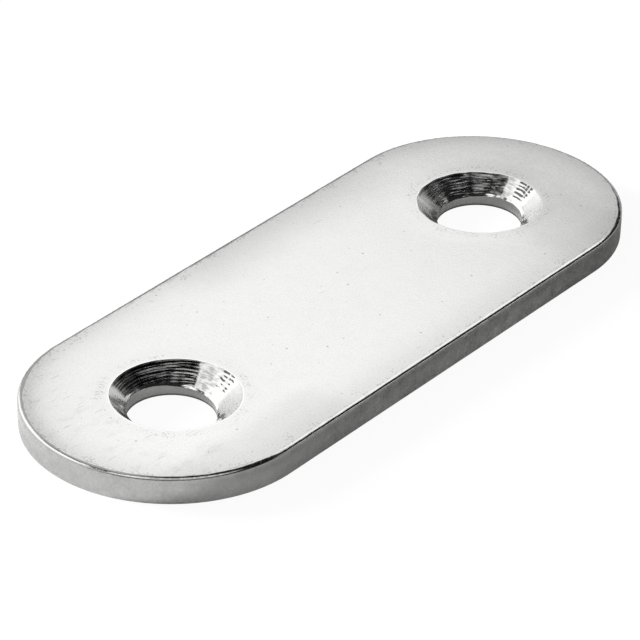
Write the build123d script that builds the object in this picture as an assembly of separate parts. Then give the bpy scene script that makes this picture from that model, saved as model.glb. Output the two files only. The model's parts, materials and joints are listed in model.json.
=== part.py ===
from build123d import *
import math
import os

# A mending plate: a flat steel strip with full round ends, blanked from sheet, with two
# countersunk screw holes on its long centre line. All sizes are in millimetres.
# The origin is at the centre of the underside, +X runs along the plate, and +Z points
# out of the countersunk face.

# Strip
plate_length = 40.0
plate_width = 15.0
plate_thickness = 1.5

# Blanked edge, from the countersunk face down: a rolled-over rim, a straight burnished
# band, a torn band that draws in towards the underside, and the broken-off burr
roll_over_radius = 0.15
torn_band_height = 0.75
torn_band_draw = 0.03
burr_break = 0.05

# Screw holes: a punched bore, then a sink cut with a conical tool
hole_spacing = 25.0
hole_diameter = 4.5
sink_depth = 1.0
sink_angle = 90.0

# How far each sink's tool ran off the centre of its bore, along and across the plate
sink_a_run_out = (0.12, -0.18)
sink_b_run_out = (-0.08, 0.0)

# Each cutting tool reaches past the face that it enters by this much
tool_overshoot = 0.5


# The plate seen from above, drawn in by an inset all round
def outline(inset):
    radius = plate_width / 2 - inset
    straight = plate_length / 2 - plate_width / 2
    front = Line((-straight, -radius), (straight, -radius))
    end_b = ThreePointArc((straight, -radius), (straight + radius, 0), (straight, radius))
    back = Line((straight, radius), (-straight, radius))
    end_a = ThreePointArc((-straight, radius), (-straight - radius, 0), (-straight, -radius))
    return make_face([front, end_b, back, end_a])


# The strip as it leaves the press: its wall changes from the torn to the burnished band
# part of the way up, and its upper rim is rolled over
def blanked_strip():
    waist = Pos(0, 0, torn_band_height) * outline(0)
    torn_band = loft([outline(torn_band_draw), waist], ruled=True)
    burnished_band = extrude(waist, plate_thickness - torn_band_height)
    strip = torn_band + burnished_band
    upper_rim = strip.faces().sort_by(Axis.Z)[-1].edges()
    strip = fillet(upper_rim, roll_over_radius)
    lower_rim = strip.faces().sort_by(Axis.Z)[0].edges()
    return chamfer(lower_rim, burr_break)


# The punch that leaves the bore
def bore_tool():
    height = plate_thickness + 2 * tool_overshoot
    middle = Pos(0, 0, plate_thickness / 2)
    return middle * Cylinder(hole_diameter / 2, height)


# The conical tool that leaves the sink, from its tip to a little above the plate. Its
# cone meets the bore at the sink's depth wherever the two are on one centre.
def sink_tool(run_out):
    flare = math.tan(math.radians(sink_angle / 2))
    sink_radius = hole_diameter / 2 + sink_depth * flare
    tool_radius = sink_radius + tool_overshoot * flare
    tool_height = tool_radius / flare
    tip = Pos(run_out[0], run_out[1], plate_thickness + tool_overshoot - tool_height)
    upwards = (Align.CENTER, Align.CENTER, Align.MIN)
    return tip * Cone(0, tool_radius, tool_height, align=upwards)


# One screw hole's whole cut, placed along the plate
def screw_hole(along, run_out):
    return Pos(along, 0, 0) * (bore_tool() + sink_tool(run_out))


def mending_plate():
    plate = blanked_strip()
    plate -= screw_hole(-hole_spacing / 2, sink_a_run_out)
    plate -= screw_hole(hole_spacing / 2, sink_b_run_out)
    return plate


os.makedirs("parts", exist_ok=True)
export_step(mending_plate(), "parts/plate.step")
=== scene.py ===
import bpy
import json
import math
from mathutils import Matrix, Vector


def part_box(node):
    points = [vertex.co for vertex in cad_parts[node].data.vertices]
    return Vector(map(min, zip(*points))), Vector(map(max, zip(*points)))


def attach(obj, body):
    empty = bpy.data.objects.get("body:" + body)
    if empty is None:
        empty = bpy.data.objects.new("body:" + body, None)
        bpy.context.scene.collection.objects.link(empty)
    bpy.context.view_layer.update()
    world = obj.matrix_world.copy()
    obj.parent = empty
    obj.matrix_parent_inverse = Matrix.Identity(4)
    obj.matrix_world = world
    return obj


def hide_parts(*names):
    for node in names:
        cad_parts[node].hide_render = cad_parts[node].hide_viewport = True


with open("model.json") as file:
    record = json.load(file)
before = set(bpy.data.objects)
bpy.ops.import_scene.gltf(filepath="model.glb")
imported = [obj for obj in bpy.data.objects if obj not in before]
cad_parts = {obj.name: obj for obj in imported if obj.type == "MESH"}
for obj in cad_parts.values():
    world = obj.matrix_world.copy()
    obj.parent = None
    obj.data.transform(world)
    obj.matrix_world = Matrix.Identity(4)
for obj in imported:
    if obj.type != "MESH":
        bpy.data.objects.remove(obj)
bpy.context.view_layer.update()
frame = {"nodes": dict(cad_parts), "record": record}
mounts = {mount["name"]: mount for mount in frame["record"]["mounts"]}
metresPerMm = 0.001
print("frame loaded:", sorted(frame["nodes"]))


class Value:
    # a number that varies over a surface: a node's output that can be added, multiplied and so on
    def __init__(self, tree, socket):
        self.tree = tree
        self.socket = socket

    def __add__(self, other):
        return mathNode(self.tree, "ADD", self, other)

    def __radd__(self, other):
        return mathNode(self.tree, "ADD", other, self)

    def __sub__(self, other):
        return mathNode(self.tree, "SUBTRACT", self, other)

    def __rsub__(self, other):
        return mathNode(self.tree, "SUBTRACT", other, self)

    def __mul__(self, other):
        return mathNode(self.tree, "MULTIPLY", self, other)

    def __rmul__(self, other):
        return mathNode(self.tree, "MULTIPLY", other, self)

    def __truediv__(self, other):
        return mathNode(self.tree, "DIVIDE", self, other)


def plug(tree, socket, value):
    # links a value or a node's output to a socket, or sets a plain number on it
    if isinstance(value, Value):
        tree.links.new(value.socket, socket)
    elif isinstance(value, bpy.types.NodeSocket):
        tree.links.new(value, socket)
    else:
        socket.default_value = value


def mathNode(tree, operation, *values):
    node = tree.nodes.new("ShaderNodeMath")
    node.operation = operation
    for socket, value in zip(node.inputs, values):
        plug(tree, socket, value)
    return Value(tree, node.outputs[0])


def lowest(a, b):
    return mathNode(a.tree, "MINIMUM", a, b)


def highest(a, b):
    return mathNode(a.tree, "MAXIMUM", a, b)


def between(a, low, high):
    return lowest(highest(a, low), high)


def hypot(a, b):
    return mathNode(a.tree, "SQRT", a * a + b * b)


def sine(a):
    return mathNode(a.tree, "SINE", a)


def cosine(a):
    return mathNode(a.tree, "COSINE", a)


def magnitude(a):
    return mathNode(a.tree, "ABSOLUTE", a)


def bell(distance, width):
    # 1 at no distance, falling smoothly to nothing over about two widths
    ratio = distance / width
    return mathNode(distance.tree, "EXPONENT", ratio * ratio * -1.0)


def ramp(a, start, end):
    # 0 up to start, 1 from end, smooth between; start may be the larger
    share = between((a - start) / (end - start), 0.0, 1.0)
    return share * share * (3.0 - 2.0 * share)


def lerp(a, b, share):
    return a + (b - a) * share


def withinTurn(angle, centre, halfWidth, soft):
    # 1 within halfWidth of a direction and 0 beyond it, fading over soft, all in degrees
    gap = magnitude(mathNode(angle.tree, "WRAP", angle - centre, 180.0, -180.0))
    return ramp(gap, halfWidth + soft / 2, halfWidth - soft / 2)


def degrees(angle):
    # from radians
    return angle * (180 / math.pi)


def joinXyz(tree, x, y, z):
    node = tree.nodes.new("ShaderNodeCombineXYZ")
    for socket, value in zip(node.inputs, (x, y, z)):
        plug(tree, socket, value)
    return node.outputs[0]


def splitXyz(tree, vector):
    node = tree.nodes.new("ShaderNodeSeparateXYZ")
    tree.links.new(vector, node.inputs[0])
    return [Value(tree, output) for output in node.outputs]


def objectPlace(tree):
    # a point's place on the object, in millimetres
    coordinates = tree.nodes.new("ShaderNodeTexCoord")
    return [value / metresPerMm for value in splitXyz(tree, coordinates.outputs["Object"])]


def noiseAt(tree, vector, scale, detail, seed):
    # smooth noise from -1 to 1, about 0 on average
    node = tree.nodes.new("ShaderNodeTexNoise")
    node.noise_dimensions = "4D"
    plug(tree, node.inputs["Vector"], vector)
    plug(tree, node.inputs["Scale"], scale)
    plug(tree, node.inputs["Detail"], detail)
    plug(tree, node.inputs["W"], seed)
    return (Value(tree, node.outputs[0]) - 0.5) * 2.0


def startGroup(name, kind, inputs):
    # a node group with one named number input for each entry, which gives the input's usual value
    tree = bpy.data.node_groups.new(name, kind)
    for label, usual in inputs.items():
        socket = tree.interface.new_socket(name=label, in_out="INPUT", socket_type="NodeSocketFloat")
        socket.default_value = usual
    groupIn = tree.nodes.new("NodeGroupInput")
    return tree, {label: Value(tree, groupIn.outputs[label]) for label in inputs}


def endGroup(tree, kind, results):
    for label in results:
        tree.interface.new_socket(name=label, in_out="OUTPUT", socket_type=kind)
    groupOut = tree.nodes.new("NodeGroupOutput")
    for label, result in results.items():
        plug(tree, groupOut.inputs[label], result)
    return tree


def placeGroup(tree, group, values):
    # puts a node group into a tree with its own values, and gives its outputs by name
    node = tree.nodes.new(group.bl_idname.replace("NodeTree", "NodeGroup"))
    node.node_tree = group
    for label, value in values.items():
        plug(tree, node.inputs[label], value)
    return {output.name: Value(tree, output) for output in node.outputs}


# the stamped plate, in millimetres where no share is named
plateShape = {
    "rollWidth": 0.25,         # rolled-over upper rim of the outline
    "rollHeight": 0.18,
    "rollWaver": 0.4,          # share of that width by which it wanders
    "nickDepth": 0.05,         # small dents along it
    "tornHeight": 0.75,        # torn band of the sheared wall
    "tornWaver": 0.15,         # share of that height by which it wanders
    "tornDraw": 0.015,         # how far the torn band draws in at the underside
    "wallWaver": 0.008,        # how far the shear wanders inwards
    "burrBreak": 0.03,         # broken edge of the underside
    "faceDrop": 0.012,         # the face lies this far below the burrs of the sinks
    "faceSag": 0.016,          # how far it sinks further, towards its rolled rim
    "faceSagWidth": 0.6,       # over about this much of its edge
    "faceDish": 0.031,         # slow fall towards the back edge and the ends
    "faceDishWidth": 2.6,
    "faceWave": 0.0015,        # how far it undulates
    "rimSwell": 0.009,         # metal pushed up round a sink
    "rimSwellWidth": 0.75,
    "rimRound": 0.03,          # rounding of a sink's rim
    "sinkDepth": 1.0,          # below the plate's full thickness
    "ringPitch": 0.15,         # feed of the countersink, down the slant
    "ringDepth": 0.0032,
    "dashDepth": 0.003,
    "lipBurr": 0.058,          # burr left standing on one side of the bore's upper edge
    "lipBurrWidth": 0.12,
}
rollTurn = math.radians(60)     # the roll meets the face at a slope, not flush
sinkAngle = math.radians(90)
sinkSlope = math.pi / 2 - sinkAngle / 2

# the two countersinks, each with the wear of its own cut
sinkShapes = {
    "A": {"side": -1.0, "runOutX": -0.12, "runOutY": -0.18, "rimWaver": 0.02,
          "facets": 23.0, "facetDepth": 0.006, "seed": 5.0},
    "B": {"side": 1.0, "runOutX": -0.08, "runOutY": 0.0, "rimWaver": 0.02,
          "facets": 17.0, "facetDepth": 0.03, "seed": 2.0},
}

# how finely each stretch of the plate is divided
plateMesh = {
    "edgeSteps": 300,
    "centreSteps": 92,
    "faceRows": 20,
    "rimRows": 4,
    "sinkRows": 54,
    "boreRows": 4,
    "undersideRows": 6,
    "breakRows": 2,
    "tornRows": 5,
    "burnishRows": 3,
    "rollRows": 12,
}
weldGap = 0.0008 * metresPerMm
cornerAngle = math.radians(30)  # edges sharper than this stay crisp
surfaceNames = ("face", "sink", "bore", "underside", "wall")


def plateValues():
    # what the frame says of the plate, with the values above
    low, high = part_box("plate")
    hole = mounts["screw_hole_b"]
    measured = {
        "length": (high.x - low.x) / metresPerMm,
        "width": (high.y - low.y) / metresPerMm,
        "thickness": (high.z - low.z) / metresPerMm,
        "holeX": hole["pos_m"][0] / metresPerMm,
        "boreRadius": hole["dims"]["r_mm"],
    }
    return {**measured, **plateShape}


def addGrid(tree, columns, rows):
    # a flat sheet whose points stand at (column, row)
    grid = tree.nodes.new("GeometryNodeMeshGrid")
    grid.inputs["Size X"].default_value = columns
    grid.inputs["Size Y"].default_value = rows
    grid.inputs["Vertices X"].default_value = columns + 1
    grid.inputs["Vertices Y"].default_value = rows + 1
    shift = tree.nodes.new("GeometryNodeTransform")
    shift.inputs["Translation"].default_value = (columns / 2, rows / 2, 0.0)
    tree.links.new(grid.outputs["Mesh"], shift.inputs["Geometry"])
    return shift.outputs["Geometry"]


def addSheet(tree, name, columns, rows, places):
    # a flat sheet with each point moved to its place, whose faces know which surface they are
    move = tree.nodes.new("GeometryNodeSetPosition")
    tree.links.new(addGrid(tree, columns, rows), move.inputs["Geometry"])
    tree.links.new(places, move.inputs["Position"])
    mark = tree.nodes.new("GeometryNodeStoreNamedAttribute")
    mark.data_type = "INT"
    mark.domain = "FACE"
    mark.inputs["Name"].default_value = "surface"
    mark.inputs["Value"].default_value = surfaceNames.index(name)
    tree.links.new(move.outputs["Geometry"], mark.inputs["Geometry"])
    return mark.outputs["Geometry"]


def makeHalfTree(values):
    # one half of the plate, with the centre line at x = 0 and its countersunk hole on the +X side
    counts = plateMesh
    tree, size = startGroup("plateHalf", "GeometryNodeTree", {**values, **sinkShapes["B"]})
    position = tree.nodes.new("GeometryNodeInputPosition")
    column, row, _ = splitXyz(tree, position.outputs[0])
    side = size["side"]
    radius = size["width"] / 2.0
    straight = size["length"] / 2.0 - radius
    arcLength = radius * math.pi
    edgeLength = straight * 2.0 + arcLength

    # each column of points ends on the half outline, or past edgeSteps on the centre line
    along = lowest(column / counts["edgeSteps"], 1.0) * edgeLength
    out = between(along, 0.0, straight)
    back = between(along - straight - arcLength, 0.0, straight)
    turn = between((along - straight) / arcLength, 0.0, 1.0) * math.pi - math.pi / 2
    across = between((column - counts["edgeSteps"]) / counts["centreSteps"], 0.0, 1.0)
    flat = out - back
    bowX = cosine(turn)
    bowY = sine(turn) - across * 2.0

    def insetPoint(inset):
        inner = radius - inset
        return flat + inner * bowX, inner * bowY

    def noiseOver(x, y, z, scale, detail, seed):
        # the two halves share the noise where they meet
        return noiseAt(tree, joinXyz(tree, x * side, y, z), scale, detail, seed)

    edgeX, edgeY = insetPoint(0.0)
    rollNoise = noiseOver(edgeX, edgeY, 0.0, 1.3, 5.0, 4.0)
    nick = ramp(noiseOver(edgeX, edgeY, 0.0, 1.9, 1.0, 9.0), 0.35, 0.6) * size["nickDepth"]
    rollWidth = size["rollWidth"] * (1.0 + size["rollWaver"] * rollNoise) + nick
    shear = size["wallWaver"] * (1.0 + noiseOver(edgeX, edgeY, 0.0, 0.7, 3.0, 6.0))

    def faceHeight(x, y, rimDistance):
        # the face sags towards its edge and swells up round a sink
        beyond = x - lowest(x, straight)
        edgeDistance = radius - hypot(beyond, y)
        sag = size["faceSag"] * bell(edgeDistance, size["faceSagWidth"])
        dish = size["faceDish"] * bell(edgeDistance, size["faceDishWidth"])
        dish = dish * highest(ramp(y, -1.0, 3.0), ramp(beyond, 0.0, 5.0))
        wave = size["faceWave"] * noiseOver(x, y, 0.0, 0.35, 2.0, 8.0)
        height = size["thickness"] - size["faceDrop"] - sag - dish + wave
        if rimDistance is None:
            return height
        return height + size["rimSwell"] * bell(rimDistance, size["rimSwellWidth"])

    # each column leaves the bore's centre towards its point on the outline
    gapX = edgeX - size["holeX"]
    gap = hypot(gapX, edgeY)
    dx = gapX / gap
    dy = edgeY / gap
    sinkX = size["holeX"] + size["runOutX"]
    sinkY = size["runOutY"]
    waver = noiseAt(tree, joinXyz(tree, dx, dy, 0.0), 2.4, 2.0, size["seed"]) * size["rimWaver"]
    facet = sine(mathNode(tree, "ARCTAN2", dy, dx) * size["facets"] / 2.0 + size["seed"])
    facet = magnitude(facet) * size["facetDepth"]
    flare = math.tan(sinkAngle / 2)
    rimRadius = size["boreRadius"] + size["sinkDepth"] * flare + waver + facet
    lipRadius = rimRadius + size["rimRound"] * math.tan(sinkSlope / 2)
    lipX = sinkX + lipRadius * dx
    lipY = sinkY + lipRadius * dy
    lipHeight = faceHeight(lipX, lipY, lipRadius * 0.0)  # no way off the rim
    boreX = size["holeX"] + size["boreRadius"] * dx
    boreY = size["boreRadius"] * dy

    def coneHeight(reach, x, y):
        # a burr curls up where the cone meets the bore, on the side away from the plate's -X end
        nearBore = 1.0 - (hypot(x - size["holeX"], y) - size["boreRadius"]) / size["lipBurrWidth"]
        nearBore = between(nearBore, 0.0, 1.0)
        burr = nearBore * size["lipBurr"] * ramp(dx * side - dy * 0.1, 0.78, 0.97)
        return lipHeight - (rimRadius - reach) / flare + burr

    def placeFace():
        outerX, outerY = insetPoint(rollWidth)
        share = (1.0 - cosine(row * (math.pi / counts["faceRows"]))) / 2.0
        x = lerp(outerX, lipX, share)
        y = lerp(outerY, lipY, share)
        rimDistance = highest(hypot(x - sinkX, y - sinkY) - lipRadius, 0.0)
        return x, y, faceHeight(x, y, rimDistance)

    def placeSink():
        # first the rounded rim, then down the cone with its turned rings
        turned = between(row / counts["rimRows"], 0.0, 1.0) * sinkSlope
        share = between((row - counts["rimRows"]) / counts["sinkRows"], 0.0, 1.0)
        curl = lipRadius - size["rimRound"] * sine(turned)
        x = lerp(sinkX + curl * dx, boreX, share)
        y = lerp(sinkY + curl * dy, boreY, share)
        reach = hypot(x - sinkX, y - sinkY)
        cosA = (x - sinkX) / reach
        sinA = (y - sinkY) / reach
        slant = (rimRadius - reach) / math.sin(sinkAngle / 2)
        # the tool's marks fade at the rim and at the bore, and are weak where it cut clean
        fade = between(share / 0.03, 0.0, 1.0) * between((1.0 - share) / 0.04, 0.0, 1.0)
        drift = noiseAt(tree, joinXyz(tree, cosA * 2.0, sinA * 2.0, slant * 0.8), 1.5, 2.0, size["seed"])
        ring = sine((slant / size["ringPitch"] + drift * 1.2) * (2 * math.pi))
        place = joinXyz(tree, cosA * 5.0, sinA * 5.0, slant * 9.0)
        dash = noiseAt(tree, place, 1.6, 2.0, size["seed"] + 3.0)
        calm = ramp(sinA * 0.64 - cosA * side * 0.77, 0.45, 0.75)
        strength = between(0.5 + drift * 1.5, 0.1, 1.0) * (1.0 - calm * 0.85)
        push = (ring * size["ringDepth"] + dash * size["dashDepth"]) * strength * fade
        curlHeight = lipHeight - size["rimRound"] * (1.0 - cosine(turned))
        onCone = between(share * 10000.0, 0.0, 1.0)  # 0 on the rounded rim
        z = lerp(curlHeight, coneHeight(reach, x, y), onCone) + push * math.cos(sinkSlope)
        inwards = push * math.sin(sinkSlope)
        return x - cosA * inwards, y - sinA * inwards, z

    def placeBore():
        top = coneHeight(hypot(boreX - sinkX, boreY - sinkY), boreX, boreY)
        return boreX, boreY, top * (1.0 - row / counts["boreRows"])

    def placeUnderside():
        outerX, outerY = insetPoint(size["tornDraw"] + size["burrBreak"] + shear)
        share = (1.0 - cosine(row * (math.pi / counts["undersideRows"]))) / 2.0
        return lerp(boreX, outerX, share), lerp(boreY, outerY, share), row * 0.0

    def placeWall():
        # up the wall: broken burr, torn band, burnished band, rolled rim
        shares = []
        left = row
        for part in ("breakRows", "tornRows", "burnishRows", "rollRows"):
            shares.append(between(left / counts[part], 0.0, 1.0))
            left = left - counts[part]
        broken, torn, burnished, rolled = shares
        turned = rolled * rollTurn
        rollShare = (1.0 - cosine(turned)) / (1.0 - math.cos(rollTurn))
        inset = size["burrBreak"] * (1.0 - broken) + size["tornDraw"] * (1.0 - torn)
        inset = inset + shear * (1.0 - rolled) + rollWidth * rollShare
        x, y = insetPoint(inset)
        tornTop = size["tornHeight"] * (1.0 + rollNoise * size["tornWaver"])
        rollFoot = size["thickness"] - size["rollHeight"]
        z = size["burrBreak"] * broken + (tornTop - size["burrBreak"]) * torn
        z = z + (rollFoot - tornTop) * burnished
        topX, topY = insetPoint(rollWidth)
        return x, y, z + (faceHeight(topX, topY, None) - rollFoot) * sine(turned) / math.sin(rollTurn)

    columns = counts["edgeSteps"] + counts["centreSteps"]
    wallRows = counts["breakRows"] + counts["tornRows"] + counts["burnishRows"] + counts["rollRows"]
    sheets = {
        "face": (columns, counts["faceRows"], placeFace),
        "sink": (columns, counts["rimRows"] + counts["sinkRows"], placeSink),
        "bore": (columns, counts["boreRows"], placeBore),
        "underside": (columns, counts["undersideRows"], placeUnderside),
        "wall": (counts["edgeSteps"], wallRows, placeWall),
    }
    join = tree.nodes.new("GeometryNodeJoinGeometry")
    for name, (sheetColumns, sheetRows, place) in sheets.items():
        x, y, z = place()
        places = joinXyz(tree, x * side * metresPerMm, y * metresPerMm, z * metresPerMm)
        tree.links.new(addSheet(tree, name, sheetColumns, sheetRows, places), join.inputs[0])
    return endGroup(tree, "NodeSocketGeometry", {"Geometry": join.outputs[0]})


def chain(tree, geometry, kind, values):
    # runs a geometry through one more node
    node = tree.nodes.new(kind)
    tree.links.new(geometry, node.inputs["Geometry"])
    for label, value in values.items():
        plug(tree, node.inputs[label], value)
    return node


def makePlateTree(values, materials):
    # both halves, the -X one turned over, welded into one closed skin
    halfTree = makeHalfTree(values)
    tree, size = startGroup("stampedPlate", "GeometryNodeTree", values)
    join = tree.nodes.new("GeometryNodeJoinGeometry")
    for shape in sinkShapes.values():
        half = placeGroup(tree, halfTree, {**size, **shape})["Geometry"]
        if shape["side"] < 0:
            flip = tree.nodes.new("GeometryNodeFlipFaces")
            plug(tree, flip.inputs[0], half)
            half = flip.outputs[0]
        plug(tree, join.inputs[0], half)
    weld = chain(tree, join.outputs[0], "GeometryNodeMergeByDistance", {"Distance": weldGap})
    smooth = chain(tree, weld.outputs[0], "GeometryNodeSetShadeSmooth", {"Shade Smooth": True})
    edgeAngle = tree.nodes.new("GeometryNodeInputMeshEdgeAngle")
    isCorner = mathNode(tree, "GREATER_THAN", edgeAngle.outputs["Unsigned Angle"], cornerAngle)
    crisp = chain(tree, smooth.outputs[0], "GeometryNodeSetShadeSmooth",
                  {"Selection": isCorner, "Shade Smooth": False})
    crisp.domain = "EDGE"
    whole = chain(tree, crisp.outputs[0], "GeometryNodeRealizeInstances", {})
    surface = tree.nodes.new("GeometryNodeInputNamedAttribute")
    surface.data_type = "INT"
    surface.inputs["Name"].default_value = "surface"
    geometry = whole.outputs[0]
    for number, name in enumerate(surfaceNames):
        chosen = mathNode(tree, "COMPARE", surface.outputs["Attribute"], float(number), 0.5)
        painted = chain(tree, geometry, "GeometryNodeSetMaterial",
                        {"Selection": chosen, "Material": materials[name]})
        geometry = painted.outputs[0]
    return endGroup(tree, "NodeSocketGeometry", {"Geometry": geometry})


def makePlate(materials):
    values = plateValues()
    tree = makePlateTree(values, materials)
    holder = bpy.data.objects.new("holder", bpy.data.meshes.new("holder"))
    bpy.context.scene.collection.objects.link(holder)
    modifier = holder.modifiers.new("shape", "NODES")
    modifier.node_group = tree
    for item in tree.interface.items_tree:
        if item.in_out == "INPUT":
            modifier[item.identifier] = values[item.name]
    depsgraph = bpy.context.evaluated_depsgraph_get()
    mesh = bpy.data.meshes.new_from_object(holder.evaluated_get(depsgraph))
    bpy.data.objects.remove(holder)
    plate = bpy.data.objects.new("mendingPlate", mesh)
    bpy.context.scene.collection.objects.link(plate)
    print("plate:", len(mesh.vertices), "points,", len(mesh.polygons), "faces")
    return plate


def makeGrainGroup():
    # rolled and plated steel's marks, each from about 0 to 1
    tree, size = startGroup("satinGrain", "ShaderNodeTree", {
        "cloudScale": 0.35, "mottleScale": 1.7, "grainScale": 8.0, "pitScale": 0.7, "pitRadius": 0.055,
        "hairScale": 0.9, "hairAngle": -0.12, "seed": 1.0})
    x, y, z = objectPlace(tree)
    place = joinXyz(tree, x, y, z)
    cloud = noiseAt(tree, place, size["cloudScale"], 4.0, size["seed"])
    mottle = noiseAt(tree, place, size["mottleScale"], 4.0, size["seed"] + 1.0)
    grain = noiseAt(tree, place, size["grainScale"], 2.0, size["seed"] + 2.0)

    def cells(across, along, scale):
        node = tree.nodes.new("ShaderNodeTexVoronoi")
        node.voronoi_dimensions = "2D"
        tree.links.new(joinXyz(tree, across, along, 0.0), node.inputs["Vector"])
        plug(tree, node.inputs["Scale"], scale)
        chance, spread, _ = splitXyz(tree, node.outputs["Color"])
        return Value(tree, node.outputs["Distance"]), chance, spread

    gap, chance, spread = cells(x + grain * 0.06 + size["seed"], y + mottle * 0.1, size["pitScale"])
    reach = size["pitRadius"] * size["pitScale"] * (0.4 + spread)
    pits = ramp(gap, reach, reach * 0.2) * ramp(chance, 0.55, 0.6) * (0.3 + spread * 0.7)
    specks = grain * 0.5 + mottle * 0.3 + 0.5
    cosTurn = cosine(size["hairAngle"])
    sinTurn = sine(size["hairAngle"])
    lengthwise = (x * cosTurn + y * sinTurn) * 0.5 + cloud * 0.3
    crosswise = (y * cosTurn - x * sinTurn) * 5.0
    gap, chance, spread = cells(crosswise, lengthwise + size["seed"], size["hairScale"])
    wornEnd = ramp(x + cloud * 4.0, -12.0, -17.0)
    hairs = ramp(gap, 0.2, 0.06) * ramp(chance + wornEnd * 0.2, 0.97, 1.0) * (0.3 + spread * 0.7)
    place = joinXyz(tree, lengthwise * 1.6, crosswise * 0.35, 0.0)
    smears = ramp(noiseAt(tree, place, 1.0, 5.0, size["seed"] + 3.0), 0.0, 0.5) * wornEnd
    return endGroup(tree, "NodeSocketFloat", {
        "Cloud": cloud * 0.5 + 0.5, "Mottle": mottle * 0.5 + 0.5, "Grain": grain * 0.5 + 0.5,
        "Pits": pits, "Specks": specks, "Hairs": hairs, "Smears": smears})


def makePlaceGroup(values):
    # where a point lies, in millimetres: off the outline, off the nearest sink and bore, and round it
    tree, size = startGroup("placeOnPlate", "ShaderNodeTree", {
        "length": values["length"], "width": values["width"], "holeX": values["holeX"],
        "boreRadius": values["boreRadius"],
        "rimRadius": values["boreRadius"] + values["sinkDepth"] * math.tan(sinkAngle / 2),
        "sinkAX": sinkShapes["A"]["runOutX"], "sinkAY": sinkShapes["A"]["runOutY"],
        "sinkBX": sinkShapes["B"]["runOutX"], "sinkBY": sinkShapes["B"]["runOutY"]})
    x, y, z = objectPlace(tree)
    side = mathNode(tree, "GREATER_THAN", x, 0.0)
    far = magnitude(x)
    centreX = size["holeX"] + lerp(size["sinkAX"], size["sinkBX"], side)
    centreY = lerp(size["sinkAY"], size["sinkBY"], side)
    gapX = far - centreX
    gapY = y - centreY
    reach = hypot(gapX, gapY)
    straight = (size["length"] - size["width"]) / 2.0
    beyond = far - lowest(far, straight)
    return endGroup(tree, "NodeSocketFloat", {
        "Edge Distance": size["width"] / 2.0 - hypot(beyond, y),
        "Rim Distance": reach - size["rimRadius"],
        "Bore Distance": hypot(far - size["holeX"], y) - size["boreRadius"],
        "Round X": gapX / reach,
        "Round Y": gapY / reach,
        "Side": side,
        "Height": z})


def steel(name, colour, roughness):
    # a bare metal to which the finishes below add their patterns
    material = bpy.data.materials.new(name)
    material.use_nodes = True
    shader = material.node_tree.nodes["Principled BSDF"]
    shader.inputs["Base Color"].default_value = (*colour, 1.0)
    shader.inputs["Metallic"].default_value = 1.0
    shader.inputs["Roughness"].default_value = roughness
    return material, material.node_tree, shader


def tint(tree, colour, strength):
    # a colour made lighter or darker by a value
    node = tree.nodes.new("ShaderNodeVectorMath")
    node.operation = "SCALE"
    node.inputs[0].default_value = colour
    plug(tree, node.inputs["Scale"], strength)
    return node.outputs[0]


def addBump(tree, shader, height, depth):
    # a height of 1 stands this many millimetres proud
    node = tree.nodes.new("ShaderNodeBump")
    node.inputs["Distance"].default_value = depth * metresPerMm
    plug(tree, node.inputs["Height"], height)
    tree.links.new(node.outputs[0], shader.inputs["Normal"])


faceFinish = {
    "colour": (0.88, 0.88, 0.872),
    "roughness": 0.145,
    "cloudTint": 0.05,         # how far each mark shades the metal, as a share
    "mottleTint": 0.12,
    "grainTint": 0.24,
    "pitTint": 0.45,
    "hairTint": 0.16,
    "smearTint": 0.12,
    "edgeTint": 0.3,           # scuffs along the edge and the sinks' rims
    "edgeDarkening": 0.15,          # the face is darker towards its edge, over this many millimetres
    "edgeDarkeningWidth": 1.5,
    "burrHighlight": 0.2,           # the burr round a sink is brighter: a painted highlight
    "rimScuffs": 0.76,
    "paintedShadeTint": 0.13,          # painted shade in a few places on the face
    "bumpDepth": 0.0014,
}
undersideFinish = {**faceFinish, "roughness": 0.3, "hairTint": 0.2, "burrHighlight": 0.0, "rimScuffs": 0.0}


def scuffsAt(edgeDistance, rimDistance, specks, rimStrength):
    # specks gather along the plate's edge and round its sinks
    scuffs = highest(bell(edgeDistance - 0.34, 0.1), bell(rimDistance - 0.4, 0.5) * rimStrength)
    scuffs = highest(scuffs, bell(edgeDistance - 0.4, 0.9) * 0.6)
    return ramp(specks + scuffs * 0.25, 0.72, 0.86)


def paintedShadeAt(x, y):
    # painted shade along the back, in front of both ends and beyond the +X sink
    paintedShade = ramp(y, 3.3, 6.5) * ramp(x, -6.0, -1.0) * (1.0 - ramp(x, 9.0, 13.0) * 0.5)
    paintedShade = paintedShade + ramp(x, 9.5, 12.5) * ramp(x, 18.0, 15.5) * ramp(y, -1.0, -3.5) * 0.85
    paintedShade = paintedShade + ramp(x, -6.5, -9.5) * ramp(y, -3.8, -5.2) * 0.8
    return paintedShade + bell(hypot(x - 15.8, y - 1.0), 2.2) * 0.6


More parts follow.
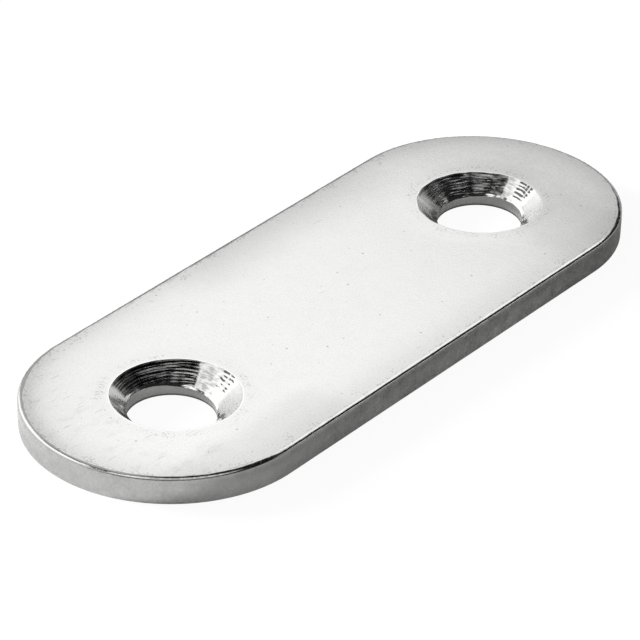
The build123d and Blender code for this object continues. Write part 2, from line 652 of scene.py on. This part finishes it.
def makeFace(groups, name, finish, seed):
    material, tree, shader = steel(name, finish["colour"], finish["roughness"])
    grain = placeGroup(tree, groups["grain"], {"seed": seed})
    place = placeGroup(tree, groups["place"], {})
    cloud = grain["Cloud"] - 0.5
    mottle = grain["Mottle"] - 0.5
    fine = grain["Grain"] - 0.5
    pits = grain["Pits"]
    specks = grain["Specks"]
    hairs = grain["Hairs"]
    smears = grain["Smears"]
    edgeDistance = place["Edge Distance"]
    rimDistance = place["Rim Distance"]
    x, y, _ = objectPlace(tree)

    scuffs = scuffsAt(edgeDistance, rimDistance, specks, finish["rimScuffs"])
    paintedShade = paintedShadeAt(x + cloud * 3.0, y + cloud * 1.5)
    shade = 1.0 + cloud * finish["cloudTint"] + mottle * finish["mottleTint"]
    shade = shade + fine * finish["grainTint"]
    shade = shade * (1.0 - pits * finish["pitTint"]) * (1.0 - hairs * finish["hairTint"])
    shade = shade * (1.0 - smears * finish["smearTint"]) * (1.0 - scuffs * finish["edgeTint"])
    shade = shade * (1.0 - bell(edgeDistance, finish["edgeDarkeningWidth"]) * finish["edgeDarkening"])
    # a painted highlight on the burr round each sink
    shade = shade * (1.0 + bell(rimDistance - 0.03, 0.05) * finish["burrHighlight"])
    # painted shade in a few places on the face
    shade = shade * (1.0 - paintedShade * finish["paintedShadeTint"])
    tree.links.new(tint(tree, finish["colour"], shade), shader.inputs["Base Color"])
    rough = finish["roughness"] + cloud * 0.03 + mottle * 0.04 + fine * 0.04 + pits * 0.1
    plug(tree, shader.inputs["Roughness"], rough)
    addBump(tree, shader, fine + mottle - pits * 2.0 - hairs, finish["bumpDepth"])
    return material


# a pair is the -X sink's value, then the +X sink's; directions round a sink are in degrees from +X, an
# edge is where it starts and ends, and a sector is its centre, half width and fade
sinkFinish = {
    "colour": (0.92, 0.92, 0.912),
    "roughness": 0.11,
    "streakRoughness": 0.4,        # where the tool rubbed instead of cutting
    "bumpDepth": 0.002,
    "rubbedStart": (17.0, 7.0),    # the rubbed sector of each sink
    "rubbedEnd": (114.0, 109.0),
    "rubbedLean": (0.0, 9.0),      # degrees by which its end leans over each millimetre of slant
    "strongSector": (45.0, 33.0, 24.0),
    "ringPitch": 0.155,            # between the tool's rings, down the slant
    "ringShare": (0.42, 0.22),
    "spokeShare": (0.4, 0.9),
    "darkFrom": (-0.4, 0.04),
    "darkTo": (0.02, 0.42),
    "lineTint": (0.93, 0.74),      # the +X sink's rings are paler
    "blackEdge": (68.0, 84.0),     # past here painted shade darkens them into one
    "blackShare": (0.75, 0.5),
    "paleTint": 0.44,              # pale patches in the +X sink's rings
    "seamTurn": 46.0,              # where its tool stopped
    "turnedAway": (134.0, 117.0),  # where it turns from the light, and looks brushed
    "brushedSector": (-44.0, 14.0, 8.0),
    "shadeDelay": (7.0, 13.0),
    "shadeTint": (0.92, 0.78),
    "shadeTurn": (124.0, 110.0),
    "shadeTurnTint": (0.22, 0.5),
    "dashScale": (9.0, 5.0),       # short chatter marks
    "dashPitch": 0.21,
    "dashShare": (0.9, 0.75),
    "rowShare": (0.25, 0.36),
    "dashSectors": ((-16.0, 9.0, 6.0), (-15.0, 9.0, 4.0)),
    "dashSectorShare": (0.75, 1.0),
    "dashTint": 0.85,
    "darkPatchEdge": (21.0, 17.0),    # the +X sink's patch of painted shade
    "darkPatchTint": 0.96,
    "greySector": (3.0, 12.0, 6.0),
    "greyTint": 0.42,
    # a painted line of shade just inside the rim, over part of each sink
    "rimSector": (66.0, 50.0, 8.0),
    "rimTint": 0.6,
}


class SinkPoint:
    # where a point lies in its sink: which one, the direction round it, and how far down the slant
    def __init__(self, tree, group):
        place = placeGroup(tree, group, {})
        self.tree = tree
        self.side = place["Side"]
        self.roundX = place["Round X"] * (self.side * 2.0 - 1.0)
        self.roundY = place["Round Y"]
        self.rimDistance = place["Rim Distance"]
        self.down = self.rimDistance * (-1.0 / math.sin(sinkAngle / 2))
        self.lip = ramp(place["Bore Distance"], 0.14, 0.09)
        self.turn = degrees(mathNode(tree, "ARCTAN2", self.roundY, self.roundX))

    def own(self, pair):
        # the value of the sink that the point is in
        return lerp(pair[0], pair[1], self.side)

    def noise(self, roundScale, downScale, detail, seed):
        roundX = self.roundX * roundScale
        roundY = self.roundY * roundScale
        vector = joinXyz(self.tree, roundX, roundY, self.down * downScale)
        return noiseAt(self.tree, vector, 1.0, detail, self.side * 7.0 + seed)

    def sector(self, centre, halfWidth, soft):
        return withinTurn(self.turn, centre, halfWidth, soft)


def sinkNoises(point):
    return {
        "streaks": point.noise(3.0, 20.0, 3.0, 0.0),
        "lines": point.noise(1.3, 11.0, 3.0, 4.0),
        "patches": point.noise(3.5, 2.5, 2.0, 9.0),
        "blocks": point.noise(7.0, 4.0, 1.0, 13.0),
        "spokes": point.noise(6.0, 0.2, 1.0, 17.0),
        "ticks": point.noise(40.0, 2.0, 2.0, 21.0),
    }


def rubbedSector(point, noises):
    # the sector where the tool rubbed, and the direction in which it ends
    finish = sinkFinish
    start = point.own(finish["rubbedStart"])
    end = point.own(finish["rubbedEnd"]) + (0.6 - point.down) * point.own(finish["rubbedLean"])
    rubbed = ramp(point.turn + noises["patches"] * 3.0, start - 1.0, start + 1.5)
    return rubbed * ramp(point.turn, end + 3.0, end - 3.0), end


def toolRings(point, noises, rubbed):
    # how dark the tool's rings are, partly their real marks and partly painted shade, and how rough they
    # leave the metal
    finish = sinkFinish
    turn = point.turn
    streaks = noises["streaks"]
    lines = noises["lines"]
    patches = noises["patches"]
    blocks = noises["blocks"]
    rings = sine((point.down / finish["ringPitch"] + lines * 1.3) * (2 * math.pi))
    rings = rings * point.own(finish["ringShare"])
    strong = lerp(0.3, 1.0, point.sector(*finish["strongSector"]))
    rough = ramp(rings + streaks * 0.8 + patches * 0.5 + blocks * 0.5, -0.1, 0.6) * rubbed * strong
    turnedAway = point.own(finish["turnedAway"])
    rough = highest(rough, ramp(turn, turnedAway, turnedAway + 10.0))
    rough = highest(rough, point.sector(*finish["brushedSector"]) * 0.9)
    dark = lines * 0.7 - rings - noises["spokes"] * point.own(finish["spokeShare"])
    dark = ramp(dark, point.own(finish["darkFrom"]), point.own(finish["darkTo"])) * rubbed
    # past the black edge, painted shade darkens the rubbed sector
    black = ramp(turn, *finish["blackEdge"]) * (point.own(finish["blackShare"]) + streaks * 0.5)
    dark = highest(dark, black * rubbed)
    dark = dark * (1.0 - ramp(patches + blocks * 0.5, -0.05, 0.4) * point.side * finish["paleTint"])
    dark = highest(dark, bell(turn - finish["seamTurn"], 2.5) * point.side * 0.9)
    return dark, rough


def paintedDarkPatch(point, noises, rubbed):
    # the +X sink's rubbed sector starts with a patch of painted shade
    darkPatch = ramp(point.turn, *sinkFinish["darkPatchEdge"]) * rubbed * point.side
    return darkPatch * between(0.8 + noises["streaks"] * 0.6 + noises["blocks"] * 0.6, 0.45, 1.0)


def turnedAwayShade(point, noises, rubbedEnd):
    # both sinks fade to grey where they turn from the light, past the rubbed sector
    finish = sinkFinish
    start = point.own(finish["turnedAway"]) + point.own(finish["shadeDelay"])
    shade = ramp(point.turn, start, start + 16.0) * ramp(point.down + noises["patches"] * 0.3, -0.1, 0.5)
    low = ramp(point.turn, rubbedEnd, rubbedEnd + 12.0) * ramp(point.down, 0.75, 1.2)
    shade = highest(shade, low * 0.9) * point.own(finish["shadeTint"])
    turning = point.sector(point.own(finish["shadeTurn"]), 10.0, 8.0)
    return highest(shade, turning * point.own(finish["shadeTurnTint"]))


def chatterDashes(point, noises):
    # rows of short dark dashes in one sector
    finish = sinkFinish
    dashes = point.noise(point.own(finish["dashScale"]), 7.0, 0.0, 35.0)
    rows = sine(point.down * (2 * math.pi / finish["dashPitch"]) + noises["patches"] * 1.5 + 1.0)
    sectors = [point.sector(*sector) * share
               for sector, share in zip(finish["dashSectors"], finish["dashSectorShare"])]
    share = point.own(sectors) * ramp(point.down, 1.05, 0.85)
    notches = ramp(point.noise(16.0, 0.5, 0.0, 39.0), 0.25, 0.4)
    checks = dashes * point.own(finish["dashShare"]) + rows * point.own(finish["rowShare"]) + share * 0.6
    return ramp(checks, 0.5, 0.68) * (1.0 - notches * 0.75) * ramp(share, 0.1, 0.4)


def makeSink(groups):
    finish = sinkFinish
    material, tree, shader = steel("turnedSink", finish["colour"], finish["roughness"])
    point = SinkPoint(tree, groups["place"])
    noises = sinkNoises(point)
    streaks = noises["streaks"]
    rubbed, rubbedEnd = rubbedSector(point, noises)
    dark, rough = toolRings(point, noises, rubbed)
    darkPatch = paintedDarkPatch(point, noises, rubbed)
    grey = ramp(noises["blocks"] + streaks * 0.6, -0.3, 0.3) * point.sector(*finish["greySector"])
    # painted shade in a line just inside the rim
    rimShadeLine = bell(point.rimDistance + 0.05, 0.035) * point.sector(*finish["rimSector"])

    # the tool's marks stop short of the bore's lip
    offLip = 1.0 - point.lip
    shade = 1.0 - dark * offLip * point.own(finish["lineTint"])
    shade = shade * (1.0 - chatterDashes(point, noises) * finish["dashTint"])
    shade = shade * (1.0 - rimShadeLine * finish["rimTint"])
    shade = shade * (1.0 - turnedAwayShade(point, noises, rubbedEnd))
    # the +X sink's patch of painted shade
    shade = shade * (1.0 - darkPatch * offLip * finish["darkPatchTint"])
    shade = shade * (1.0 - grey * finish["greyTint"])
    streaked = ramp(streaks + noises["patches"] * 0.5, -0.1, 0.6) * 0.13
    shade = shade * (1.0 - streaked - ramp(noises["ticks"], 0.0, 0.6) * 0.08)
    tree.links.new(tint(tree, finish["colour"], shade), shader.inputs["Base Color"])
    rough = finish["roughness"] + rough * offLip * finish["streakRoughness"]
    rough = rough + ramp(streaks, -0.2, 0.6) * 0.05
    plug(tree, shader.inputs["Roughness"], rough)
    addBump(tree, shader, streaks + noises["lines"] * 0.5, finish["bumpDepth"])
    return material


wallFinish = {
    # darker than the plated face: partly the sheared steel's own tone, partly painted shade
    "colour": (0.385, 0.385, 0.375),
    "roughness": 0.37,
    "tornRoughness": 0.08,     # the torn band is rougher by this
    "topShade": 0.4,            # painted shade darkens the upper band, except at the -X end
    "nearShade": 0.14,          # there painted shade darkens the front alone, a little
    "lowPaintedLight": 0.24,           # and painted light makes it brighter low down
    "lowPaintedLightX": -14.5,
    "endShade": 0.36,           # painted shade makes the +X end darkest
    "rimColour": (0.88, 0.88, 0.872),
    "rimRoughness": 0.1,
    "rimFoot": 0.15,           # the bright rolled rim reaches this far down from the face
    "backShade": 0.4,           # painted shade darkens it along the back
    "frontShade": 0.7,          # and blotches of painted shade darken it round the front of the -X end
    "bumpDepth": 0.003,
}


def wallShade(x, y, height, grain):
    # how light the sheared wall is, with painted shade and painted light in it: x and y in millimetres
    # along and across the plate
    finish = wallFinish
    # 1 away from the -X end
    awayFromEnd = ramp(x, -14.0, -4.0)
    uneven = grain["streaks"] * 0.2 + grain["cloud"] * 0.4 + grain["mottle"] + grain["fine"] * 1.2
    shade = 1.0 + uneven * lerp(0.4, 1.0, awayFromEnd)
    # painted shade on the upper band
    shade = shade * (1.0 - ramp(height, 0.2, 1.3) * awayFromEnd * finish["topShade"])
    # painted shade at the +X end
    shade = shade * (1.0 - ramp(x, 4.0, 16.0) * finish["endShade"])
    # painted shade on the upper front at the -X end
    near = ramp(height, 0.5, 1.2) * ramp(y, 0.0, -3.0) * (1.0 - awayFromEnd)
    shade = shade * (1.0 - near * finish["nearShade"])
    # painted light low on the front wall, near the -X end
    paintedGlow = bell(x - finish["lowPaintedLightX"], 3.0) * ramp(height, 1.2, 0.6) * ramp(y, -4.0, -6.0)
    return shade * (1.0 + paintedGlow * finish["lowPaintedLight"])


def rimShade(x, y, grain):
    # how light the rolled rim is, with painted shade along the back and in blotches round the front of
    # the -X end
    finish = wallFinish
    back = ramp(y + x * 0.35, -2.5, -1.0) * ramp(x, -15.0, 0.0) * ramp(x, 18.0, 14.0)
    front = ramp(y + grain["cloud"] * 2.0, -2.8, -4.2) * ramp(x + grain["cloud"] * 2.0, -12.5, -14.5)
    front = front * between(0.8 + grain["mottle"] * 1.2 + grain["streaks"] * 0.5, 0.3, 1.0)
    shade = (1.0 + grain["fine"] * 0.1) * (1.0 - back * finish["backShade"])
    return shade * (1.0 - front * finish["frontShade"])


def makeWall(groups, thickness):
    finish = wallFinish
    material, tree, shader = steel("shearedWall", finish["colour"], finish["roughness"])
    place = placeGroup(tree, groups["place"], {})
    marks = placeGroup(tree, groups["grain"], {"seed": 6.0, "cloudScale": 0.8})
    height = place["Height"]
    x, y, z = objectPlace(tree)
    streaks = noiseAt(tree, joinXyz(tree, x * 6.0, y * 6.0, z * 0.9), 1.0, 3.0, 3.0)
    grain = {
        "streaks": streaks,
        "cloud": marks["Cloud"] - 0.5,
        "fine": marks["Grain"] - 0.5,
        "mottle": marks["Mottle"] - 0.5,
    }
    torn = ramp(height, 0.85, 0.65)
    rimFoot = thickness - finish["rimFoot"]
    rim = ramp(height, rimFoot, rimFoot + 0.06)
    mix = tree.nodes.new("ShaderNodeMix")
    mix.data_type = "RGBA"
    plug(tree, mix.inputs["Factor"], rim)
    wallTint = tint(tree, finish["colour"], wallShade(x, y, height, grain))
    rimTint = tint(tree, finish["rimColour"], rimShade(x, y, grain))
    tree.links.new(wallTint, mix.inputs["A"])
    tree.links.new(rimTint, mix.inputs["B"])
    tree.links.new(mix.outputs["Result"], shader.inputs["Base Color"])
    rough = finish["roughness"] + torn * finish["tornRoughness"] + streaks * 0.04
    rimRough = finish["rimRoughness"] + ramp(streaks + grain["fine"], 0.0, 0.5) * 0.15
    plug(tree, shader.inputs["Roughness"], lerp(rough, rimRough, rim))
    addBump(tree, shader, (streaks + grain["fine"]) * (1.0 - rim * 0.8), finish["bumpDepth"])
    return material


boreFinish = {
    "colour": (0.52, 0.52, 0.505),
    "roughness": 0.4,
    "footTint": 0.65,          # darkest where it meets the underside
    "sideTint": 0.2,           # the +X bore is darker
    "bumpDepth": 0.003,
}


def makeBore(groups):
    finish = boreFinish
    material, tree, shader = steel("punchedBore", finish["colour"], finish["roughness"])
    place = placeGroup(tree, groups["place"], {})
    roundX = place["Round X"]
    roundY = place["Round Y"]
    height = place["Height"]
    streaks = noiseAt(tree, joinXyz(tree, roundX * 16.0, roundY * 16.0, height), 1.2, 3.0, 5.0)
    shade = (1.05 + streaks * 0.15) * (1.0 - ramp(height, 0.14, 0.05) * finish["footTint"])
    shade = shade * (1.0 - place["Side"] * finish["sideTint"])
    tree.links.new(tint(tree, finish["colour"], shade), shader.inputs["Base Color"])
    plug(tree, shader.inputs["Roughness"], finish["roughness"] + streaks * 0.06)
    addBump(tree, shader, streaks, finish["bumpDepth"])
    return material


def makeMaterials():
    values = plateValues()
    groups = {"grain": makeGrainGroup(), "place": makePlaceGroup(values)}
    materials = {
        "face": makeFace(groups, "satinFace", faceFinish, 1.0),
        "sink": makeSink(groups),
        "bore": makeBore(groups),
        "underside": makeFace(groups, "satinUnderside", undersideFinish, 12.0),
        "wall": makeWall(groups, values["thickness"]),
    }
    print("finishes:", ", ".join(material.name for material in materials.values()))
    return materials


floorLook = {
    "colour": 0.9,
    "roughness": 0.9,
    "cameraLift": 0.94,        # how white the eye sees it: 1 leaves no shadow
    "mirrorLift": 0.1,         # and how white the metal does
    "reach": 3.0,              # metres each way
    "drop": 0.00002,           # metres below the plate
}


def makeFloor():
    look = floorLook
    mesh = bpy.data.meshes.new("floor")
    reach = look["reach"]
    corners = [(-reach, -reach, 0), (reach, -reach, 0), (reach, reach, 0), (-reach, reach, 0)]
    mesh.from_pydata(corners, [], [(0, 1, 2, 3)])
    floor = bpy.data.objects.new("floor", mesh)
    bpy.context.scene.collection.objects.link(floor)
    floor.location.z = -look["drop"]
    material = bpy.data.materials.new("paleFloor")
    material.use_nodes = True
    tree = material.node_tree
    shader = tree.nodes["Principled BSDF"]
    shader.inputs["Base Color"].default_value = (look["colour"],) * 3 + (1.0,)
    shader.inputs["Roughness"].default_value = look["roughness"]
    shader.inputs["Specular IOR Level"].default_value = 0.0
    # the eye sees the floor nearly white, with a trace of the plate's shadow left on it
    path = tree.nodes.new("ShaderNodeLightPath")
    seen = highest(Value(tree, path.outputs["Is Camera Ray"]), path.outputs["Is Transmission Ray"])
    lift = seen * look["cameraLift"] + Value(tree, path.outputs["Is Glossy Ray"]) * look["mirrorLift"]
    white = tree.nodes.new("ShaderNodeEmission")
    mix = tree.nodes.new("ShaderNodeMixShader")
    plug(tree, mix.inputs[0], lift)
    tree.links.new(shader.outputs[0], mix.inputs[1])
    tree.links.new(white.outputs[0], mix.inputs[2])
    tree.links.new(mix.outputs[0], tree.nodes["Material Output"].inputs["Surface"])
    mesh.materials.append(material)
    print("floor laid")
    return floor


# the room that the metal mirrors, with azimuths anticlockwise from +X and elevations, in degrees:
# an edge is where it starts and ends, a round is its centre, half width and fade, and level 1 is white
roomLight = {
    "dark": 0.014,
    "sheetLevel": 1.12,        # a tall white sheet behind the plate
    "sheetRound": (105.0, 65.0, 4.0),
    "sheetTops": (41.0, 62.0),           # its top edge steps down towards the right
    "sheetStep": (66.0, 76.0),
    "sheetTopFade": (2.0, -2.0),
    "sheetRightLevel": 1.04,   # its part on the right
    "sheetRightEdge": (48.0, 66.0),
    "sheetLeftLevel": 0.9,     # its far left part
    "sheetLeftEdge": (134.0, 142.0),
    "sheetFarRise": 0.045,     # brighter by this share towards its slanting edge
    "sheetFarEdge": (0.5, -2.0),
    "sheetNearRise": 0.07,     # and by this share the other way
    "sheetNearEdge": (1.5, 3.5),
    "sheetFootLevel": 0.64,    # below its slanting edge
    "sheetFootEdge": (-3.0, -2.0),
    "sheetFootTop": (36.0, 40.0),
    "slantCentre": (38.0, 31.0),         # the slanting edge runs through here
    "slantTurn": (0.57, 0.82),
    "shoulderRound": (26.0, 20.0, 4.0),  # the sheet's shoulder, on its right
    "shoulderFoot": (-15.0, -9.0),
    "shoulderTop": (54.0, 48.0),
    "gapLevel": 0.4,           # between the two parts of the sheet
    "gapStart": (43.0, 47.0),
    "gapTop": (66.0, 62.0),
    "gapSides": ((9.0, 14.0), (66.0, 62.0)),
    "lowGapLevel": 0.34,       # below the right one
    "lowGapTop": (16.5, 13.5),
    "lowGapStep": (35.0, 41.0),
    "lowGapStepHeight": 5.0,
    "stripLevel": 1.0,         # a narrow pale strip on the right, which leans
    "stripCentre": (-26.0, 33.5),
    "stripTurn": (0.72, 0.69),
    "stripShift": 0.5,
    "stripHalfWidth": (4.0, 2.5),
    "stripTop": (48.0, 46.0),
    "stripFoot": (17.0, 19.0),
    "bandLevel": 0.58,         # pale walls low down all round
    "bandTop": (14.0, 10.0),
    "tallBandRound": (249.0, 71.0, 20.0),  # where they stand taller
    "tallBandTop": (36.0, 28.0),
    "tableLevel": 0.78,        # the pale table beyond the plate
    "tableRound": (348.0, 24.0, 6.0),
    "tableTop": (13.0, 11.0),
    "tableStep": (-20.0, -14.0),
    "tableStepHeight": 4.0,
    "ceilingLevel": 1.2,
    "ceilingEdge": (66.0, 72.0),
    "keyEnergy": 17.0,
    "keySize": 0.25,
    "keyDistance": 0.7,
    "keyAzimuth": 108.0,
    "keyElevation": 18.0,
}


def leaning(azimuth, elevation, centre, turn):
    # how far a direction lies past a leaning line through a centre
    return (azimuth - centre[0]) * turn[0] + (elevation - centre[1]) * turn[1]


def sheetLight(azimuth, elevation):
    # the sheet and its shoulder, brighter and darker in parts
    look = roomLight
    top = lerp(*look["sheetTops"], ramp(azimuth, *look["sheetStep"]))
    sheet = withinTurn(azimuth, *look["sheetRound"]) * ramp(elevation - top, *look["sheetTopFade"])
    level = lerp(look["sheetRightLevel"], look["sheetLevel"], ramp(azimuth, *look["sheetRightEdge"]))
    level = lerp(level, look["sheetLeftLevel"], ramp(azimuth, *look["sheetLeftEdge"]))
    slant = leaning(azimuth, elevation, look["slantCentre"], look["slantTurn"])
    shoulder = withinTurn(azimuth, *look["shoulderRound"]) * ramp(slant, *look["shoulderFoot"])
    shoulder = shoulder * ramp(elevation, *look["shoulderTop"])
    level = highest(sheet * level, shoulder * look["sheetRightLevel"])
    far = ramp(slant, *look["sheetFarEdge"]) * look["sheetFarRise"]
    near = ramp(slant, *look["sheetNearEdge"]) * look["sheetNearRise"]
    level = level * (1.0 + (far + near))
    onSheet = highest(ramp(slant, *look["sheetFootEdge"]), ramp(elevation, *look["sheetFootTop"]))
    return level * lerp(look["sheetFootLevel"] / look["sheetRightLevel"], 1.0, onSheet)


def sheetGap(azimuth, elevation):
    # where the sheet leaves a gap, and how bright it is there
    look = roomLight
    drop = lerp(look["lowGapStepHeight"], 0.0, ramp(azimuth, *look["lowGapStep"]))
    low = ramp(elevation - drop, *look["lowGapTop"])
    gap = highest(low, ramp(azimuth, *look["gapStart"]) * ramp(elevation, *look["gapTop"]))
    for side in look["gapSides"]:
        gap = gap * ramp(azimuth, *side)
    return gap, lerp(look["gapLevel"], look["lowGapLevel"], low)


def stripLight(azimuth, elevation):
    look = roomLight
    lean = leaning(azimuth, elevation, look["stripCentre"], look["stripTurn"]) - look["stripShift"]
    strip = ramp(magnitude(lean), *look["stripHalfWidth"])
    return strip * ramp(elevation, *look["stripTop"]) * ramp(elevation, *look["stripFoot"])


def roomLevel(azimuth, elevation):
    # how bright the room is in a direction
    look = roomLight
    gap, gapLevel = sheetGap(azimuth, elevation)
    level = lerp(sheetLight(azimuth, elevation), gapLevel, gap)
    band = withinTurn(azimuth, *look["tallBandRound"]) * ramp(elevation, *look["tallBandTop"])
    band = highest(band, ramp(elevation, *look["bandTop"]) * (1.0 - gap))
    tableRise = ramp(azimuth, *look["tableStep"]) * look["tableStepHeight"]
    table = withinTurn(azimuth, *look["tableRound"]) * ramp(elevation - tableRise, *look["tableTop"])
    level = highest(level, stripLight(azimuth, elevation) * look["stripLevel"])
    level = highest(level, band * look["bandLevel"])
    level = highest(level, table * look["tableLevel"])
    level = highest(level, ramp(elevation, *look["ceilingEdge"]) * look["ceilingLevel"])
    return highest(level, look["dark"])


def makeWorld():
    world = bpy.data.worlds.new("studio")
    bpy.context.scene.world = world
    world.use_nodes = True
    tree = world.node_tree
    tree.nodes.clear()
    coordinates = tree.nodes.new("ShaderNodeTexCoord")
    x, y, z = splitXyz(tree, coordinates.outputs["Generated"])
    azimuth = degrees(mathNode(tree, "ARCTAN2", y, x))
    elevation = degrees(mathNode(tree, "ARCSINE", z))
    # the eye sees plain white where the metal mirrors the room
    path = tree.nodes.new("ShaderNodeLightPath")
    level = lerp(roomLevel(azimuth, elevation), 1.0, Value(tree, path.outputs["Is Camera Ray"]))
    background = tree.nodes.new("ShaderNodeBackground")
    tree.links.new(level.socket, background.inputs["Color"])
    output = tree.nodes.new("ShaderNodeOutputWorld")
    tree.links.new(background.outputs[0], output.inputs[0])
    print("room light set")


def towards(azimuth, elevation):
    # the direction at an azimuth, anticlockwise from +X, and an elevation, in degrees
    azimuth = math.radians(azimuth)
    elevation = math.radians(elevation)
    level = math.cos(elevation)
    return Vector((math.cos(azimuth) * level, math.sin(azimuth) * level, math.sin(elevation)))


def makeLamps():
    look = roomLight
    lamp = bpy.data.lights.new("key", "AREA")
    lamp.energy = look["keyEnergy"]
    lamp.size = look["keySize"]
    key = bpy.data.objects.new("key", lamp)
    bpy.context.scene.collection.objects.link(key)
    away = towards(look["keyAzimuth"], look["keyElevation"])
    key.location = away * look["keyDistance"]
    key.rotation_mode = "QUATERNION"
    key.rotation_quaternion = away.to_track_quat("Z", "Y")
    key.visible_glossy = False  # the metal mirrors the room, not the lamp
    print("lamp set")


# the eye's place in metres, the direction it is seen from in degrees and its lens in millimetres
cameraView = {
    "place": (-0.141822, -0.111076, 0.108629),
    "azimuth": -141.748,
    "elevation": 31.109,
    "roll": 1.115,
    "lens": 232.5,
    "sensor": 36.0,
    "clipStart": 0.01,
}


def makeCamera():
    view = cameraView
    data = bpy.data.cameras.new("camera")
    data.sensor_width = view["sensor"]
    data.lens = view["lens"]
    data.clip_start = view["clipStart"]
    camera = bpy.data.objects.new("camera", data)
    bpy.context.scene.collection.objects.link(camera)
    back = towards(view["azimuth"], view["elevation"])
    right = towards(view["azimuth"] + 90.0, 0.0)
    roll = math.radians(view["roll"])
    up = back.cross(right)
    rolledRight = right * math.cos(roll) + up * math.sin(roll)
    rolledUp = up * math.cos(roll) - right * math.sin(roll)
    turn = Matrix((rolledRight, rolledUp, back)).transposed().to_4x4()
    camera.matrix_world = Matrix.Translation(Vector(view["place"])) @ turn
    bpy.context.scene.camera = camera
    print("camera set")


materials = makeMaterials()
plate = makePlate(materials)
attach(plate, "root")
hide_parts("plate")
makeFloor()
makeWorld()
makeLamps()
makeCamera()
bpy.context.scene.view_settings.view_transform = "Standard"
